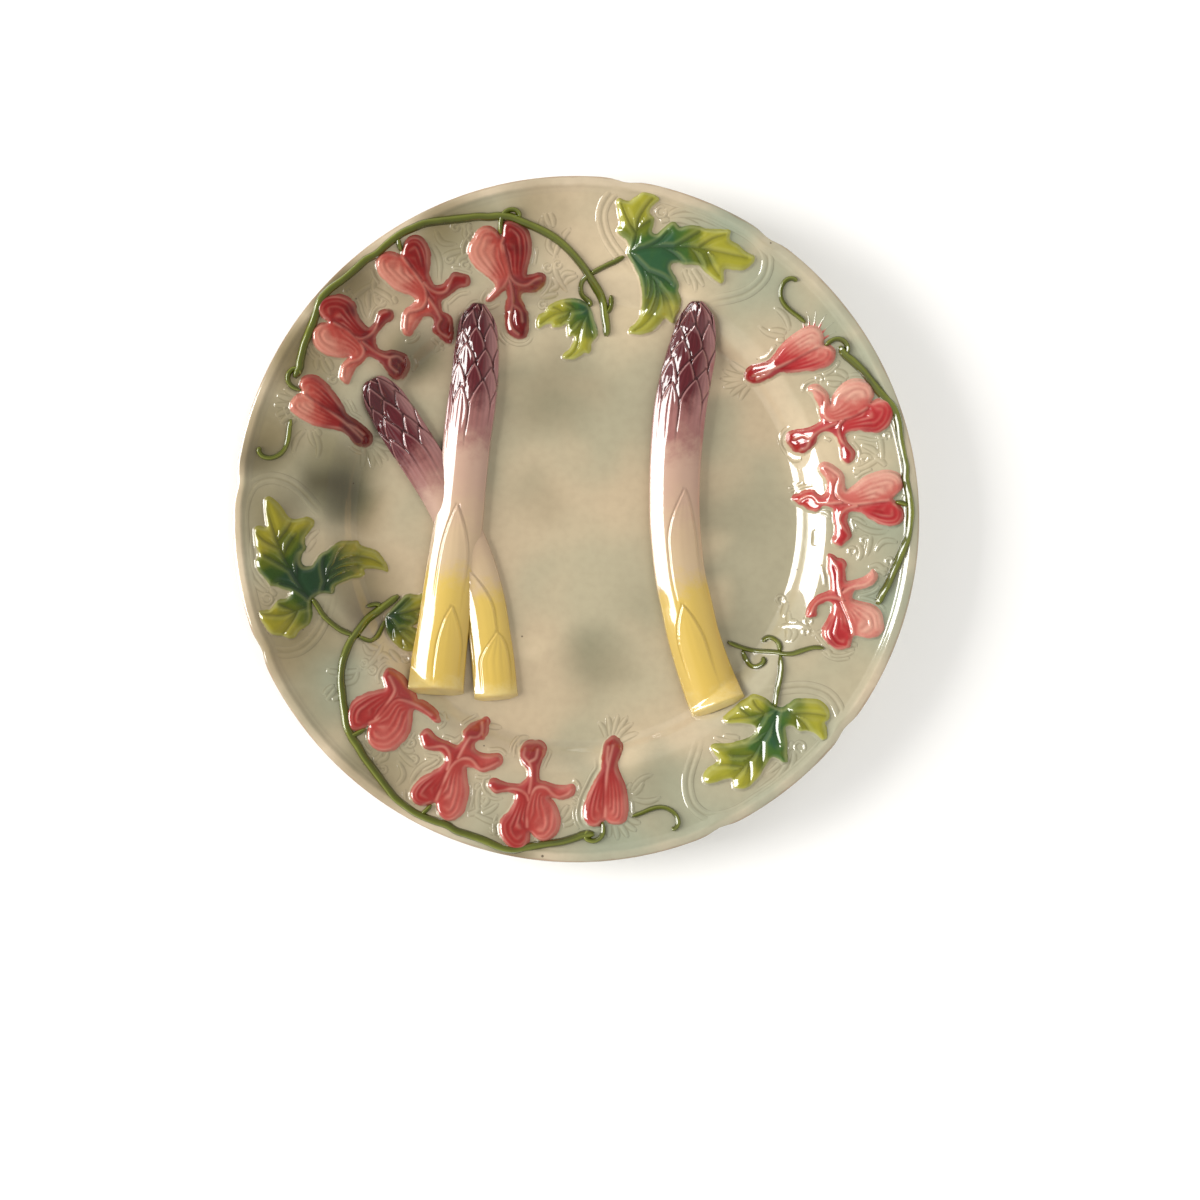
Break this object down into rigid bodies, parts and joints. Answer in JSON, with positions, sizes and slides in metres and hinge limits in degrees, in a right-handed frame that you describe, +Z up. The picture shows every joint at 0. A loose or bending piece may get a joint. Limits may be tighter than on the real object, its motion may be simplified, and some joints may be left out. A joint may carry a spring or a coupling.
{
  "type": "asparagus plate",
  "caption": "Round earthenware asparagus plate with moulded spears across its well and garlands of flowers and leaves on its flange, under a coloured glaze.",
  "frame": {"origin": "centre of the foot ring, in the plane that the plate rests on", "axes": "+Z up through the well; +Y towards the tips of the spears, -Y towards their cut ends; +X to the right as one reads the plate with the tips up"},
  "size_m": [0.24, 0.24, 0.0254],
  "materials": {
    "ground_glaze": "glossy cream glaze with soft grey-green clouds",
    "spear_glaze": "glossy glaze, purple at the tips, cream in the middle, yellow at the cut ends",
    "flower_glaze": "glossy pooled red glaze, pale on the ridges",
    "leaf_glaze": "glossy blue-green to yellow-green glaze",
    "stem_glaze": "glossy olive glaze"
  },
  "bodies": {
    "root": {"plate_body": "ground_glaze", "front_spear": "spear_glaze", "crossing_spear": "spear_glaze", "right_spear": "spear_glaze", "top_garland_stem": "stem_glaze", "top_bud": "flower_glaze", "top_first_flower": "flower_glaze", "top_middle_flower": "flower_glaze", "top_last_flower": "flower_glaze", "top_tendril": "stem_glaze", "bottom_garland_stem": "stem_glaze", "bottom_bud": "flower_glaze", "bottom_first_flower": "flower_glaze", "bottom_middle_flower": "flower_glaze", "bottom_last_flower": "flower_glaze", "bottom_tendril": "stem_glaze", "right_garland_stem": "stem_glaze", "right_bud": "flower_glaze", "right_first_flower": "flower_glaze", "right_middle_flower": "flower_glaze", "right_last_flower": "flower_glaze", "right_tendril": "stem_glaze", "upper_right_cartouche_leaf": "leaf_glaze", "upper_right_leaf_stalk": "stem_glaze", "upper_right_scroll_frame": "ground_glaze", "left_cartouche_leaf": "leaf_glaze", "left_leaf_stalk": "stem_glaze", "left_scroll_frame": "ground_glaze", "lower_right_cartouche_leaf": "leaf_glaze", "lower_right_leaf_stalk": "stem_glaze", "lower_right_scroll_frame": "ground_glaze", "upper_right_leaflet": "leaf_glaze", "left_leaflet": "leaf_glaze"}
  },
  "joints": []
}
